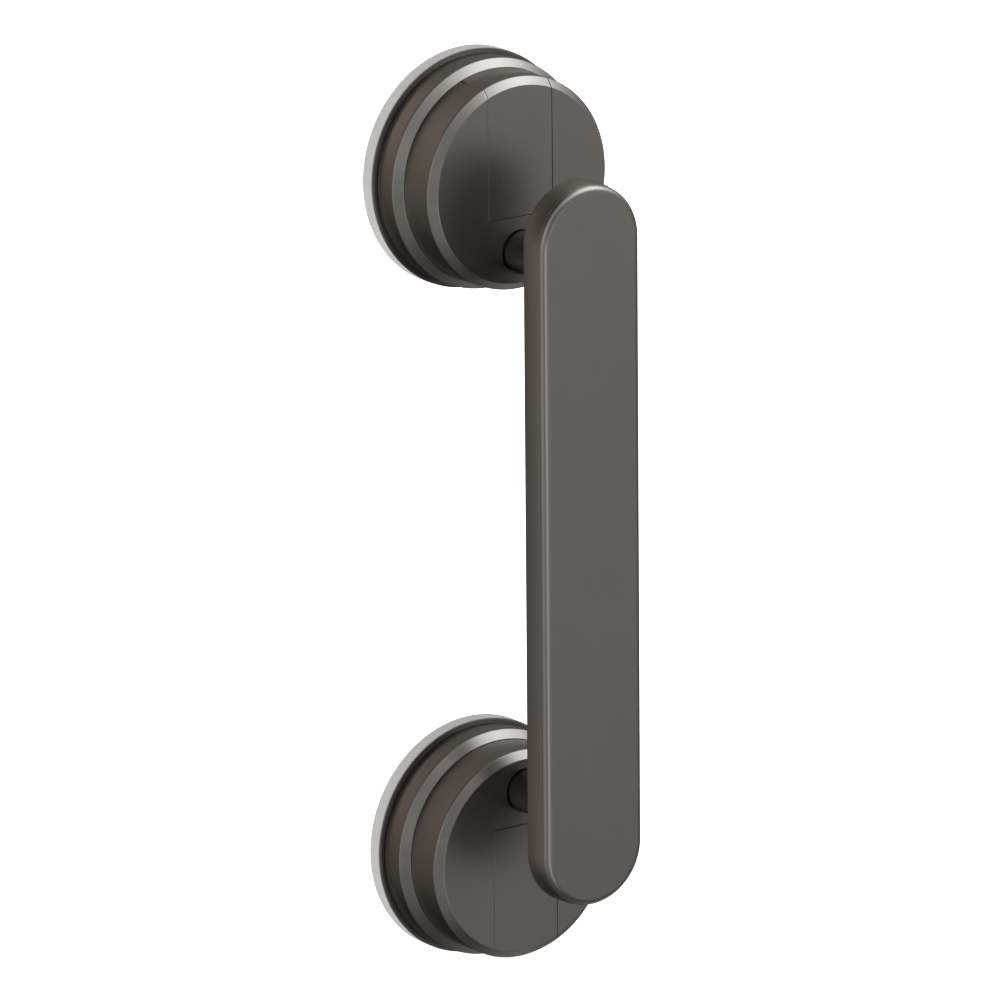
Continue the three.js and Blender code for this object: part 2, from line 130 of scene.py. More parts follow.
class Part:
    """Collects vertices and faces in mm, then makes one Blender mesh."""

    def __init__(self):
        self.points, self.faces, self.count = [], [], 0

    def verts(self, points):
        """Add points and return their index numbers."""
        points = np.asarray(points, float).reshape(-1, 3)
        self.points.append(points)
        start = self.count
        self.count += len(points)
        return np.arange(start, self.count)

    def bridge(self, row, other, wrap=False):
        """Quads between two index rows of the same length."""
        count = len(row)
        for j in range(count if wrap else count - 1):
            k = (j + 1) % count
            self.faces.append((row[j], row[k], other[k], other[j]))

    def grid(self, rows, wrap_u=False, wrap_v=False):
        """Quads over an array (rows, columns, 3). Returns the index array."""
        rows = np.asarray(rows, float)
        row_count, column_count, _ = rows.shape
        index = self.verts(rows).reshape(row_count, column_count)
        for i in range(row_count if wrap_u else row_count - 1):
            self.bridge(index[i], index[(i + 1) % row_count], wrap_v)
        return index

    def cap(self, loop):
        self.faces.append(tuple(int(i) for i in loop))

    def fan(self, loop, centre):
        """Triangles from a closed loop to a centre point."""
        middle = int(self.verts([centre])[0])
        for i in range(len(loop)):
            self.faces.append((int(loop[i]), int(loop[(i + 1) % len(loop)]), middle))

    def fill(self, *loops):
        """A flat face bounded by index loops; the first is the outside and the rest are holes."""
        points = np.concatenate(self.points)
        bm = bmesh.new()
        index_of = {}
        edges = []
        for loop in loops:
            made = []
            for i in loop:
                vert = bm.verts.new(points[int(i)])
                index_of[vert] = int(i)
                made.append(vert)
            for pair in zip(made, made[1:] + made[:1]):
                edges.append(bm.edges.new(pair))
        bmesh.ops.triangle_fill(bm, use_beauty=True, use_dissolve=False, edges=edges)
        for face in bm.faces:
            self.faces.append(tuple(index_of[vert] for vert in face.verts))
        bm.free()

    def revolve(self, rings, closed):
        """Skin a stack of rings. An open stack starts and ends with a ring of no radius."""
        if closed:
            self.grid(rings, wrap_u=True, wrap_v=True)
            return
        index = self.grid(rings[1:-1], wrap_v=True)
        self.fan(index[0], rings[0][0])
        self.fan(index[-1], rings[-1][0])

    def lathe(self, profile, count=256, closed=True, middle_v=0.0):
        """A body turned about the d direction, from (radius, d, round) points."""
        stations = rounded(profile, closed)
        self.revolve([ring_points(r, d, count, middle_v) for r, d, *_ in stations], closed)

    def cross_lathe(self, profile, count, closed=False):
        """A body turned about the pivot line, which runs along X, from (radius, x, round) points."""
        angle = np.linspace(0, 2 * np.pi, count, endpoint=False)
        rings = []
        for r, x, *_ in rounded(profile, closed, segments=3, hold=0.08):
            rings.append(np.stack(
                [np.full(count, x), r * np.cos(angle), PIVOT_D + r * np.sin(angle)], 1))
        self.revolve(rings, closed)

    def prism(self, axis, outline, start, end, holes=()):
        """A prism along axis 0 (outline in v, d) or axis 2 (outline in x, v)."""
        start_loops, end_loops = [], []
        for loop in (outline, *holes):
            flat = np.asarray(loop, float)
            ends = [np.insert(flat, axis, at, axis=1) for at in (start, end)]
            index = self.grid(ends, wrap_v=True)
            start_loops.append(index[0])
            end_loops.append(index[1])
        self.fill(*start_loops)
        self.fill(*end_loops)

    def build(self, name, material, side, body="frame", replaces=None,
              sharp=None, bevel=None, shift_x=0.0):
        """Make the object. sharp is in degrees, bevel and shift_x in mm."""
        points = place(np.concatenate(self.points) + np.array((shift_x, 0, 0)), side)
        mesh = bpy.data.meshes.new(name)
        mesh.from_pydata([tuple(p) for p in points], [], self.faces)
        mesh.validate()
        bm = bmesh.new()
        bm.from_mesh(mesh)
        bmesh.ops.remove_doubles(bm, verts=bm.verts, dist=2e-6)
        bmesh.ops.recalc_face_normals(bm, faces=bm.faces)
        if bevel:
            edges = [e for e in bm.edges
                     if len(e.link_faces) == 2 and e.calc_face_angle(0) > math.radians(40)]
            bmesh.ops.bevel(bm, geom=edges, offset=bevel * MM, segments=2, profile=0.6,
                            affect="EDGES", clamp_overlap=True)
        bm.to_mesh(mesh)
        bm.free()
        for poly in mesh.polygons:
            poly.use_smooth = True
        if sharp:
            mesh.set_sharp_from_angle(angle=math.radians(sharp))
        obj = bpy.data.objects.new(name, mesh)
        bpy.context.scene.collection.objects.link(obj)
        mesh.materials.append(material)
        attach(obj, body)
        if replaces:
            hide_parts(replaces)


# ------------------------------------------------------------------ shader helpers
class Graph:
    """Short ways to add nodes to a shader tree. A value is a number, a tuple or an output socket."""

    def __init__(self, tree):
        self.tree = tree

    def feed(self, node, inputs):
        for key, value in inputs.items():
            socket = node.inputs[key]
            if isinstance(value, bpy.types.NodeSocket):
                self.tree.links.new(value, socket)
            elif socket.type == "RGBA":
                socket.default_value = (*value, 1.0)
            else:
                socket.default_value = value

    def new(self, kind, inputs=None, **props):
        node = self.tree.nodes.new(kind)
        for key, value in props.items():
            setattr(node, key, value)
        self.feed(node, inputs or {})
        return node

    def math(self, operation, *values, clamp=False):
        inputs = dict(enumerate(values))
        return self.new("ShaderNodeMath", inputs, operation=operation, use_clamp=clamp).outputs[0]

    def vector(self, operation, inputs):
        return self.new("ShaderNodeVectorMath", inputs, operation=operation)

    def noise(self, vector, scale, detail=3.0, rough=0.5):
        inputs = {"Scale": scale, "Detail": detail, "Roughness": rough, "Vector": vector}
        return self.new("ShaderNodeTexNoise", inputs).outputs["Fac"]

    def remap(self, value, to, span=(0.3, 0.7)):
        """Map span onto to. The default span is the band most noise values fall in."""
        inputs = {"Value": value, "From Min": span[0], "From Max": span[1],
                  "To Min": to[0], "To Max": to[1]}
        return self.new("ShaderNodeMapRange", inputs).outputs["Result"]

    def mix(self, factor, first, second):
        inputs = {0: factor, 6: first, 7: second}
        return self.new("ShaderNodeMix", inputs, data_type="RGBA").outputs[2]

    def bump(self, height, strength, distance):
        inputs = {"Strength": strength, "Distance": distance, "Height": height}
        return self.new("ShaderNodeBump", inputs).outputs["Normal"]

    def split(self, vector):
        return self.new("ShaderNodeSeparateXYZ", {0: vector}).outputs

    def position(self):
        return self.new("ShaderNodeTexCoord").outputs["Object"]


class Surface(Graph):
    """A material with its Principled shader."""

    def __init__(self, name):
        self.material = bpy.data.materials.new(name)
        self.material.use_nodes = True
        super().__init__(self.material.node_tree)

    def finish(self, inputs):
        self.feed(self.tree.nodes["Principled BSDF"], inputs)
        return self.material


# ------------------------------------------------------------------ materials
def paint(name, colour=(0.27, 0.25, 0.235), rough=0.325, rear=None, front_rough=None):
    """Satin graphite metallic paint: fine flake, slow roughness drift, brighter worn edges and a
    painted shade that darkens it towards the bottom.

    The rear colour is painted shade, put on faces turned to the wall; front_rough is the roughness
    added on flat fronts.
    """
    m = Surface(name)
    pos = m.position()
    flake = m.noise(pos, scale=5200, detail=2.0, rough=0.6)
    drift = m.noise(pos, scale=18, detail=4.0, rough=0.55)
    cloud = m.noise(pos, scale=60)
    shade = m.math("ADD", m.remap(flake, to=(0.965, 1.035)), m.remap(cloud, to=(-0.012, 0.012)))
    # painted shade: darker towards the bottom of the product, where less light falls on it
    height = m.split(pos)[2]
    shade = m.math("ADD", shade, m.remap(height, to=(-0.078, 0.062), span=(-0.125, 0.125)))
    geometry = m.new("ShaderNodeNewGeometry").outputs
    edge = m.remap(geometry["Pointiness"], to=(0.0, 1.0), span=(0.52, 0.62))
    patches = m.noise(pos, scale=240, rough=0.6)
    patchy = m.remap(patches, to=(0.25, 1.0), span=(0.42, 0.62))
    wear_amount = 0.28
    worn = m.math("MULTIPLY", m.math("MULTIPLY", edge, patchy), wear_amount, clamp=True)
    tinted = m.vector("SCALE", {0: colour, "Scale": shade}).outputs[0]
    worn_colour = (0.42, 0.405, 0.39)
    finish = m.mix(worn, tinted, worn_colour)
    # painted shade: faces turned to the wall take the darker rear colour
    if rear is not None:
        facing = m.split(geometry["Normal"])[1]
        finish = m.mix(m.remap(facing, to=(0.0, 1.0), span=(0.75, 0.95)), finish, rear)
    rub = m.remap(m.noise(pos, scale=420, detail=2.0), to=(-0.012, 0.012))
    roughness = m.math("ADD", m.remap(drift, to=(rough - 0.02, rough + 0.025)), rub)
    if front_rough is not None:
        facing = m.split(geometry["Normal"])[1]
        added = m.remap(facing, to=(0.0, front_rough), span=(-0.9, -0.99))
        roughness = m.math("ADD", roughness, added)
    wear_polish = 0.08
    return m.finish({
        "Base Color": finish,
        "Metallic": 1.0,
        "Roughness": m.math("SUBTRACT", roughness, m.math("MULTIPLY", worn, wear_polish)),
        "Normal": m.bump(flake, strength=0.05, distance=0.00002),
    })


def soft_cup(name):
    """Translucent light grey elastomer: soft scatter, faint mould mottling and a dusty satin face."""
    m = Surface(name)
    pos = m.position()
    mottle = m.noise(pos, scale=90, detail=4.0, rough=0.6)
    dust = m.noise(pos, scale=900, rough=0.6)
    dark, light, dusty = (0.288, 0.276, 0.269), (0.313, 0.302, 0.296), (0.39, 0.38, 0.376)
    base = m.mix(m.remap(mottle, to=(0.0, 1.0)), dark, light)
    base = m.mix(m.remap(dust, to=(0.0, 0.12), span=(0.55, 0.75)), base, dusty)
    return m.finish({
        "Base Color": base,
        "Roughness": m.remap(dust, to=(0.38, 0.5)),
        "Subsurface Weight": 0.35,
        "Subsurface Radius": (0.004, 0.0036, 0.0034),
        "Subsurface Scale": 1.0,
        "Sheen Weight": 0.12,
        "Sheen Roughness": 0.4,
        "Normal": m.bump(dust, strength=0.08, distance=0.00003),
    })


def moulded(name, colour, rough):
    """Injection-moulded plastic with a fine spark-eroded grain."""
    m = Surface(name)
    pos = m.position()
    grain = m.noise(pos, scale=2600, rough=0.6)
    slow = m.noise(pos, scale=40)
    dark = tuple(c * 0.9 for c in colour)
    light = tuple(c * 1.08 for c in colour)
    return m.finish({
        "Base Color": m.mix(m.remap(slow, to=(0.0, 1.0)), dark, light),
        "Roughness": m.remap(grain, to=(rough - 0.06, rough + 0.08)),
        "Normal": m.bump(grain, strength=0.25, distance=0.00003),
    })


# noise scale along x, y, z
TURNED = (9000, 300, 300)
PLATED = (1500, 1500, 1500)


def metal(name, colour, rough, grain):
    """Turned or plated metal with fine machining lines and dull spots."""
    m = Surface(name)
    pos = m.position()
    stretched = m.new("ShaderNodeMapping", {"Scale": grain, "Vector": pos}).outputs[0]
    lines = m.noise(stretched, scale=1.0, rough=0.6)
    spots = m.noise(pos, scale=350, rough=0.6)
    dull = tuple(c * 0.8 for c in colour)
    return m.finish({
        "Base Color": m.mix(m.remap(spots, to=(0.0, 1.0), span=(0.35, 0.7)), colour, dull),
        "Metallic": 1.0,
        "Roughness": m.remap(lines, to=(rough - 0.06, rough + 0.1)),
        "Normal": m.bump(lines, strength=0.15, distance=0.00002),
    })


CUP = soft_cup("cup_elastomer")
BASE = paint("base_plate_paint", colour=(0.19, 0.175, 0.163), rough=0.38)
NYLON = moulded("washer_nylon", colour=(0.78, 0.75, 0.68), rough=0.42)
STEEL = metal("stud_steel", colour=(0.56, 0.57, 0.58), rough=0.28, grain=TURNED)
ZINC = metal("screw_zinc", colour=(0.62, 0.63, 0.64), rough=0.32, grain=PLATED)
BRASS = metal("insert_brass", colour=(0.70, 0.50, 0.22), rough=0.3, grain=PLATED)
RING = {side: paint(f"step_ring_paint_{name}") for name, side in HEADS}
CAP = {side: paint(f"cap_paint_{name}", front_rough=0.065) for name, side in HEADS}
LEVER = {side: paint(f"lever_paint_{name}", front_rough=0.065) for name, side in HEADS}
# painted shade: the post is painted darker than the other parts, for the shade it stands in between the
# cap and the bar
POST = paint("post_paint", colour=(0.13, 0.12, 0.112), rough=0.34)
# painted shade: the bar's faces turned to the wall are painted darker
BAR_BACK = paint("bar_back_paint", rear=(0.1, 0.093, 0.087))
BAR_FRONT = paint("bar_front_paint")

# ------------------------------------------------------------------ one head
PIVOT_D = 22.5
CAP_R, CAP_SHOULDER = 35.5, 30.45  # the wall, and where its chamfer starts
CAP_FACE_R, CAP_FRONT = 32.9, 32.75  # the flat face
SLOT_X, LEVER_X = 12.80, 12.63  # half widths
SLOT_V, LEVER_V = -10.79, -10.53  # flat inner ends
LEVER_SHIFT = 0.09  # both levers sit a little towards scene -X in their slots
LIP_D = 17.95  # rear of the lever's lip
LOW_WALL_D = LIP_D - 0.3  # front of the cap wall behind the lip
EDGE_ROUND = 0.08
END_ROUND = 0.02  # at the slot's flat end
ROUND_STEPS = (0.0, 22.5, 45.0, 67.5, 90.0)  # degrees
POST_V = -22.4
SEAT_D = 31.4  # floor of the post's seat in the cap
POST_GAP = 0.15  # at either end of the post
BAR_BACK_D = 61.6


def build_cup(name, side):
    part = Part()
    part.lathe([  # radius, d, round
        (0, 2.6, 0), (9, 2.6, 2), (12, 2.45, 2), (25, 1.5, 4), (33.0, 0.12, 1.2),
        (33.9, 0, 0.3), (35.4, 0, 0.15), (35.7, 0.22, 0.12), (36.3, 0.22, 0.12),
        (36.6, 0, 0.15), (39.6, 0, 0.4), (40.0, 0.5, 0.3), (39.94, 4.9, 0.5), (39.4, 5.2, 0.3),
        (29, 5.2, 1.5), (16, 6.0, 1.5), (9.6, 6.6, 0.8), (8.5, 8.0, 0.5), (4.1, 8.0, 0.3),
        (4.1, 6.5, 0), (0, 6.5, 0),
    ], closed=False)
    part.build(f"{name}_cup_skin", CUP, side, f"{name}_cup_carrier", f"{name}_suction_cup")


def build_base(name, side):
    """The round plate behind the cap, and the block on its middle."""
    plate = Part()
    plate.lathe([  # radius, d, round
        (4.5, 8.4, 0.2), (11, 8.4, 1), (29, 5.45, 2), (39.0, 5.42, 0.15), (39.9, 5.5, 0.18),
        (39.9, 5.95, 0.16), (39.2, 6.05, 0.15), (38.0, 5.92, 0.1), (35.5, 5.92, 0.2),
        (35.5, 8.4, 0.3), (26, 8.4, 1), (14, 10.4, 1), (4.5, 10.4, 0.2),
    ])
    hub = Part()
    hub.prism(2, rounded_box(12, 8.4, radius=1.2), 9.4, 12.8, [circle(0, 0, 4.6)])
    plate.build(f"{name}_base_skin", BASE, side, replaces=f"{name}_base_plate")
    hub.build(f"{name}_base_hub", BASE, side, sharp=35, bevel=0.25)


def build_washer(name, side):
    part = Part()
    outline = rounded_box(10.5, 7.6, radius=1.6, steps=6)
    part.prism(2, outline, 12.92, 14.0, [circle(0, 0, 4.4, 40)])
    part.build(f"{name}_washer_skin", NYLON, side, replaces=f"{name}_slide_washer",
               sharp=35, bevel=0.2)


def build_stud(name, side):
    """A headed stud with an eye across its front end for the pivot pin."""
    part = Part()
    part.lathe([  # radius, d, round
        (0, 5.0, 0), (6.4, 5.0, 0.4), (6.4, 6.8, 0.5), (3.7, 6.8, 0.4), (3.7, 20, 0), (0, 20, 0),
    ], count=64, closed=False)
    eye = [(2.15, -4.2, 0.25), (4.5, -4.2, 0.4), (4.5, 4.2, 0.4), (2.15, 4.2, 0.25)]
    part.cross_lathe(eye, count=64, closed=True)
    part.build(f"{name}_stud_skin", STEEL, side, f"{name}_cup_carrier",
               f"{name}_pull_stud", sharp=40)


def build_pin(name, side):
    part = Part()
    part.cross_lathe([(0, -9.4, 0), (1.9, -9.4, 0.35), (1.9, 9.4, 0.35), (0, 9.4, 0)], count=48)
    part.build(f"{name}_pin_skin", STEEL, side, f"{name}_cup_carrier", f"{name}_pivot_pin")


def build_ring(name, side):
    """The step ring: a slightly barrelled wall, a front chamfer in to the cap, and a ledge behind."""
    part = Part()
    part.lathe([  # radius, d, round
        (35.9, 6.1, 0.1), (37.98, 6.1, 0.12), (38.2, 8.0, 8), (38.35, 10.8, 10),
        (38.4, 14.95, 0.7), (35.74, 17.55, 0.34), (35.53, 17.55, 0.02), (35.53, 16.1, 0),
        (35.56, 10.1, 0.1), (33.8, 10.1, 0.1), (33.8, 8.8, 0.1), (35.9, 8.8, 0.1),
    ], count=288)
    part.build(f"{name}_ring_skin", RING[side], side, replaces=f"{name}_step_ring",
               sharp=50)


# ---- the cap housing
CAP_BACK_D = 8.9
SLOT_EDGE_X = SLOT_X + EDGE_ROUND
FACE_HOLD = 0.15  # from the slot's edge to the holding line on the face
WELL_BACK_D, WELL_OUTER_V = 11.0, 33.2
WELL_END = [  # v, d down the end wall of the well
    (-11.85, 31.7), (-12.7, 30.6), (-13.4, 29.6), (-15.0, 29.4), (-15.0, WELL_BACK_D),
]


def cap_profile():
    """The cap's wall, chamfer and rim from back to front: rows of r, d and the outward normal."""
    outline = [(CAP_R, CAP_BACK_D), (CAP_R, CAP_SHOULDER, 0.7),
               (CAP_FACE_R, CAP_FRONT, 0.32), (31.0, CAP_FRONT, 0)]
    profile = rounded(outline)[:-1]
    # the slot starts at a station of its own; the wall behind it is closed by the low wall
    slot_start = [CAP_R, LOW_WALL_D, *profile[0, 2:]]
    profile = np.vstack([profile[:1], [slot_start], profile[1:]])
    profile[:, 2:] *= -1
    return profile


def slotted_ring(radius, d, half_width, count=300):
    """A circle that leaves out the slot's width."""
    start = math.asin(half_width / radius)
    angle = start + np.linspace(0, 1, count) * (2 * np.pi - 2 * start)
    return np.stack([radius * np.sin(angle), radius * np.cos(angle), np.full(count, d)], 1)


def slot_edge(profile):
    """The slot's rounded edge, up the +x side, across the flat end and down the -x side.

    Each row turns from the cap's skin to the slot's wall. Also returns the two corners' row numbers.
    """
    end_v = SLOT_V - END_ROUND
    turns = [(math.sin(math.radians(s)), 1 - math.cos(math.radians(s))) for s in ROUND_STEPS]

    def wall_row(sign, r, d, normal_r, normal_d):
        row = []
        for inward, drop in turns:
            x = SLOT_EDGE_X - EDGE_ROUND * inward
            radius = r - EDGE_ROUND * drop * normal_r
            v = math.sqrt(radius * radius - x * x)
            row.append((sign * x, v, d - EDGE_ROUND * drop * normal_d))
        return row

    def face_row(x, v, toward_x, toward_v):
        depth = EDGE_ROUND if toward_x else END_ROUND
        return [(x + toward_x * inward * EDGE_ROUND, v + toward_v * inward * END_ROUND,
                 CAP_FRONT - depth * drop) for inward, drop in turns]

    plus_wall = [wall_row(1, *station) for station in profile[1:]]
    minus_wall = [wall_row(-1, *station) for station in profile[:0:-1]]
    side_v = (plus_wall[-1][0][1] - 0.3, 20, 10, 0, end_v + 0.4)
    end_x = (SLOT_EDGE_X - 0.4, 8, 4, 0, -4, -8, -SLOT_EDGE_X + 0.4)
    rows = (
        plus_wall
        + [face_row(SLOT_EDGE_X, v, -1, 0) for v in side_v]
        + [face_row(SLOT_EDGE_X, end_v, -1, 1)]
        + [face_row(x, end_v, 0, 1) for x in end_x]
        + [face_row(-SLOT_EDGE_X, end_v, 1, 1)]
        + [face_row(-SLOT_EDGE_X, v, 1, 0) for v in side_v[::-1]]
        + minus_wall
    )
    plus_corner = len(plus_wall) + len(side_v)
    return np.array(rows), plus_corner, plus_corner + 1 + len(end_x)


def add_cap_face(part, profile, rim, strip, edge, plus_corner, minus_corner):
    """The flat face: holding lines along the rim and the slot, with the post's seat cut in it."""
    arc = part.verts(slotted_ring(profile[-1, 0] - 0.05, CAP_FRONT, SLOT_EDGE_X + FACE_HOLD))
    part.bridge(rim, arc)
    # the edge rows on the face run from one end of the rim to the other
    first = len(profile) - 2
    last = len(strip) - 1 - first
    slot_hold = [arc[0]]
    for i in range(first + 1, last):
        x, v, d = strip[i][0]
        if i <= plus_corner:
            x += FACE_HOLD
        if plus_corner <= i <= minus_corner:
            v -= FACE_HOLD
        if i >= minus_corner:
            x -= FACE_HOLD
        slot_hold.append(part.verts([(x, v, d)])[0])
    slot_hold.append(arc[-1])
    part.bridge(edge[first:last + 1, 0], slot_hold)
    seat = rounded([(8.2, CAP_FRONT), (7.5, CAP_FRONT, 0.12), (7.5, SEAT_D, 0.05), (3.0, SEAT_D)],
                   segments=3, hold=0.1)
    seat_rings = part.grid([ring_points(r, d, 72, POST_V) for r, d, *_ in seat[1:]], wrap_v=True)
    part.fill(list(arc) + slot_hold[-2:0:-1], seat_rings[0])


def add_slot_walls(part, strip, plus_corner, minus_corner):
    """The slot's two side walls and its end wall, down into the well."""
    plus_edge = strip[:plus_corner + 1, -1]
    minus_edge = strip[minus_corner:, -1][::-1]
    for x, outline in ((SLOT_X, plus_edge), (-SLOT_X, minus_edge)):
        wall = [(v, d) for _, v, d in outline] + WELL_END
        wall += [(WELL_OUTER_V, WELL_BACK_D), (WELL_OUTER_V, LOW_WALL_D)]
        part.cap(part.verts([(x, v, d) for v, d in wall]))
    end = strip[plus_corner:minus_corner + 1, -1]
    part.grid([end] + [[(p[0], v, d) for p in end] for v, d in WELL_END])


def add_low_wall(part):
    """The piece of wall that crosses the slot behind the lever's lip."""
    section = rounded([(33.4, 10.4, 0), (CAP_R, 10.4, 0), (CAP_R, LOW_WALL_D, 0.15),
                       (33.4, LOW_WALL_D, 0.15)], closed=True, segments=3, hold=0.08)
    columns = []
    for x in np.linspace(-13.4, 13.4, 40):
        columns.append([(x, math.sqrt(r ** 2 - x * x), d) for r, d, *_ in section])
    index = part.grid(columns, wrap_v=True)
    part.cap(index[0])
    part.cap(index[-1])


def build_cap(name, side):
    """A turned skin with the lever's slot cut through the face, the chamfer and the wall."""
    part = Part()
    profile = cap_profile()
    skin = part.grid([slotted_ring(r, d, SLOT_EDGE_X) for r, d, *_ in profile])
    strip, *corners = slot_edge(profile)
    edge = part.grid(strip)
    add_cap_face(part, profile, skin[-1], strip, edge, *corners)
    add_slot_walls(part, strip, *corners)
    add_low_wall(part)
    # rear edge and inner wall: radius, d
    inner = [(CAP_R, CAP_BACK_D), (34.4, CAP_BACK_D), (33.5, 10.4), (33.5, 29.8)]
    part.grid([ring_points(r, d, 96) for r, d in inner], wrap_v=True)
    part.build(f"{name}_cap_skin", CAP[side], side, replaces=f"{name}_cap_housing",
               sharp=40)


# ---- the flip lever
FLAP_BACK_D, FLAP_INNER_R = 30.55, 33.5
EAR_FRONT_D = 30.9  # ears and ribs run into the flap this far
CAM_V, CAM_D, CAM_R = 1.43, 21.3, 7.1


def build_flap(name, side):
    """A flap that follows the cap's face, chamfer and wall, and ends in a lip."""
    # c, d, round; c is v on the flat end, where it is negative, and a radius elsewhere
    loop = rounded([
        (LEVER_V, FLAP_BACK_D, 0), (LEVER_V, CAP_FRONT, 0.03), (CAP_FACE_R, CAP_FRONT, 0.32),
        (CAP_R, CAP_SHOULDER, 0.7), (CAP_R, 21.6, 3.0), (CAP_R + 0.5, 18.3, 0.4),
        (CAP_R + 0.42, LIP_D, 0.2), (FLAP_INNER_R, LIP_D, 0.3), (FLAP_INNER_R, 29.4, 0.8),
        (32.2, FLAP_BACK_D, 0.4),
    ], closed=True)
    # columns across the flap: x and how far the section is drawn in
    round_columns = [(-LEVER_X + EDGE_ROUND * (1 - math.cos(math.radians(90 - s))),
                      EDGE_ROUND * (1 - math.cos(math.radians(s)))) for s in ROUND_STEPS[::-1]]
    hold_x = LEVER_X - EDGE_ROUND - 0.12
    inner_x = [-hold_x, *np.linspace(-LEVER_X + 0.8, LEVER_X - 0.8, 44), hold_x]
    columns = (round_columns + [(x, 0.0) for x in inner_x]
               + [(-x, inset) for x, inset in round_columns[::-1]])
    rows = []
    for x, inset in columns:
        row = []
        for c, d, normal_c, normal_d in loop:
            drawn = c - inset * normal_c
            v = drawn if c < 0 else math.sqrt(drawn * drawn - x * x)
            row.append((x, v, d - inset * normal_d))
        rows.append(row)
    part = Part()
    index = part.grid(rows, wrap_v=True)
    part.cap(index[0])
    part.cap(index[-1])
    part.build(f"{name}_lever_flap", LEVER[side], side, f"{name}_lever_arm",
               f"{name}_lever", sharp=50, shift_x=-side * LEVER_SHIFT)


def build_ears(name, side):
    """Two ears with eccentric cams, bored for the pivot pin."""
    part = Part()
    angles = np.linspace(math.radians(168), math.radians(372), 40)
    cam = [(CAM_V + CAM_R * math.cos(a), CAM_D + CAM_R * math.sin(a)) for a in angles]
    outline = [(-5.2, EAR_FRONT_D)] + cam + [(8.4, EAR_FRONT_D)]
    for start, end in ((-8.6, -4.6), (4.6, 8.6)):
        part.prism(0, outline, start, end, [circle(0, PIVOT_D, 2.12)])
    part.build(f"{name}_lever_ears", LEVER[side], side, f"{name}_lever_arm",
               sharp=35, bevel=0.25)


def build_ribs(name, side):
    """Two stiffening ribs along the back of the flap."""
    part = Part()
    outline = [(8.2, EAR_FRONT_D), (8.2, 25.8), (22, 28.2), (33.6, 27.4), (33.6, EAR_FRONT_D)]
    for start, end in ((-7.4, -5.8), (5.8, 7.4)):
        part.prism(0, outline, start, end)
    part.build(f"{name}_lever_ribs", LEVER[side], side, f"{name}_lever_arm",
               sharp=35, bevel=0.2)


def build_post(name, side):
    """The round post between the cap's seat and the bar."""
    back, front = SEAT_D + POST_GAP, BAR_BACK_D - POST_GAP
    part = Part()
    part.lathe([(3.0, back, 0.1), (7.0, back, 0.15), (7.0, front, 0.15), (3.0, front, 0.1)],
               count=128, middle_v=POST_V)
    part.build(f"{name}_post_skin", POST, side, replaces=f"{name}_post", sharp=50)


# ------------------------------------------------------------------ the hand bar
BAR_END_V = 101.95  # centre of the round ends
BAR_SEAM_D, BAR_FRONT_D = 69.3, 71.8
BAR_SIDE_D = 62.3  # the sides start to curve in here
BAR_W, PLATE_W = 20.0, 19.42  # half widths of the tray, and of the plate and seam
PLATE_ROUND = 2.35


def stadium(half_width, d):
    """The bar's outline: two half circles joined by straight sides."""
    angle = np.linspace(0, np.pi, 88)
    across, along = half_width * np.cos(angle), half_width * np.sin(angle)
    straight = np.linspace(BAR_END_V, -BAR_END_V, 30)[1:-1]
    rising = np.linspace(-BAR_END_V, BAR_END_V, 30)[1:-1]
    outline = np.concatenate([
        np.stack([across, BAR_END_V + along], 1),
        [(-half_width, v) for v in straight],
        np.stack([-across, -BAR_END_V - along], 1),
        [(half_width, v) for v in rising],
    ])
    return np.column_stack([outline, np.full(len(outline), d)])


def build_bar_piece(label, material, replaces, stations):
    """A bar piece skinned over stadium outlines, from (half width, d) stations."""
    part = Part()
    index = part.grid([stadium(width, d) for width, d in stations], wrap_v=True)
    part.fill(index[-1])
    part.fill(index[0])
    part.build(label, material, None, replaces=replaces, sharp=60)


def build_bar_back():
    """A tray with a flat back and sides that curve in towards the front."""
    depths = list(np.linspace(BAR_SEAM_D - 0.04, BAR_SIDE_D, 12))
    depths.insert(1, BAR_SEAM_D - 0.09)
    lean = BAR_W - PLATE_W
    side_height = BAR_SEAM_D - BAR_SIDE_D
    sides = [(BAR_W - lean * ((d - BAR_SIDE_D) / side_height) ** 2, d) for d in depths]
    turn = [(BAR_W - 0.5 + 0.5 * math.cos(a), 62.15 - 0.55 * math.sin(a))
            for a in np.linspace(0, math.pi / 2, 7)[1:]]
    build_bar_piece("bar_back_skin", BAR_BACK, "bar_back_shell", [
        (16.4, 66.6), (17.0, BAR_SEAM_D - 0.08), (17.1, BAR_SEAM_D),
        (PLATE_W - 0.1, BAR_SEAM_D), (PLATE_W - 0.03, BAR_SEAM_D),
        *sides, (BAR_W, 62.2), *turn, (BAR_W - 0.55, BAR_BACK_D), (12.5, BAR_BACK_D),
    ])


def build_bar_front():
    """The plate that closes the tray, with a rounded front edge."""
    seam = BAR_SEAM_D + 0.02
    turn = [(PLATE_W + PLATE_ROUND * (math.cos(a) - 1), BAR_FRONT_D + PLATE_ROUND * (math.sin(a) - 1))
            for a in np.linspace(0, math.pi / 2, 21)]
    build_bar_piece("bar_front_skin", BAR_FRONT, "bar_front_plate", [
        (16.0, 68.6), (17.05, seam + 0.05), (17.1, seam), (PLATE_W - 0.1, seam),
        (PLATE_W - 0.03, seam), (PLATE_W, seam + 0.03), (PLATE_W, seam + 0.08),
        *turn, (PLATE_W - PLATE_ROUND - 0.1, BAR_FRONT_D), (14.0, BAR_FRONT_D),
    ])


HEAD_BUILDERS = (build_cup, build_base, build_washer, build_stud, build_pin, build_ring,
                 build_cap, build_flap, build_ears, build_ribs, build_post)
for head_name, head_side in HEADS:
    for build_piece in HEAD_BUILDERS:
        build_piece(head_name, head_side)
build_bar_back()
build_bar_front()

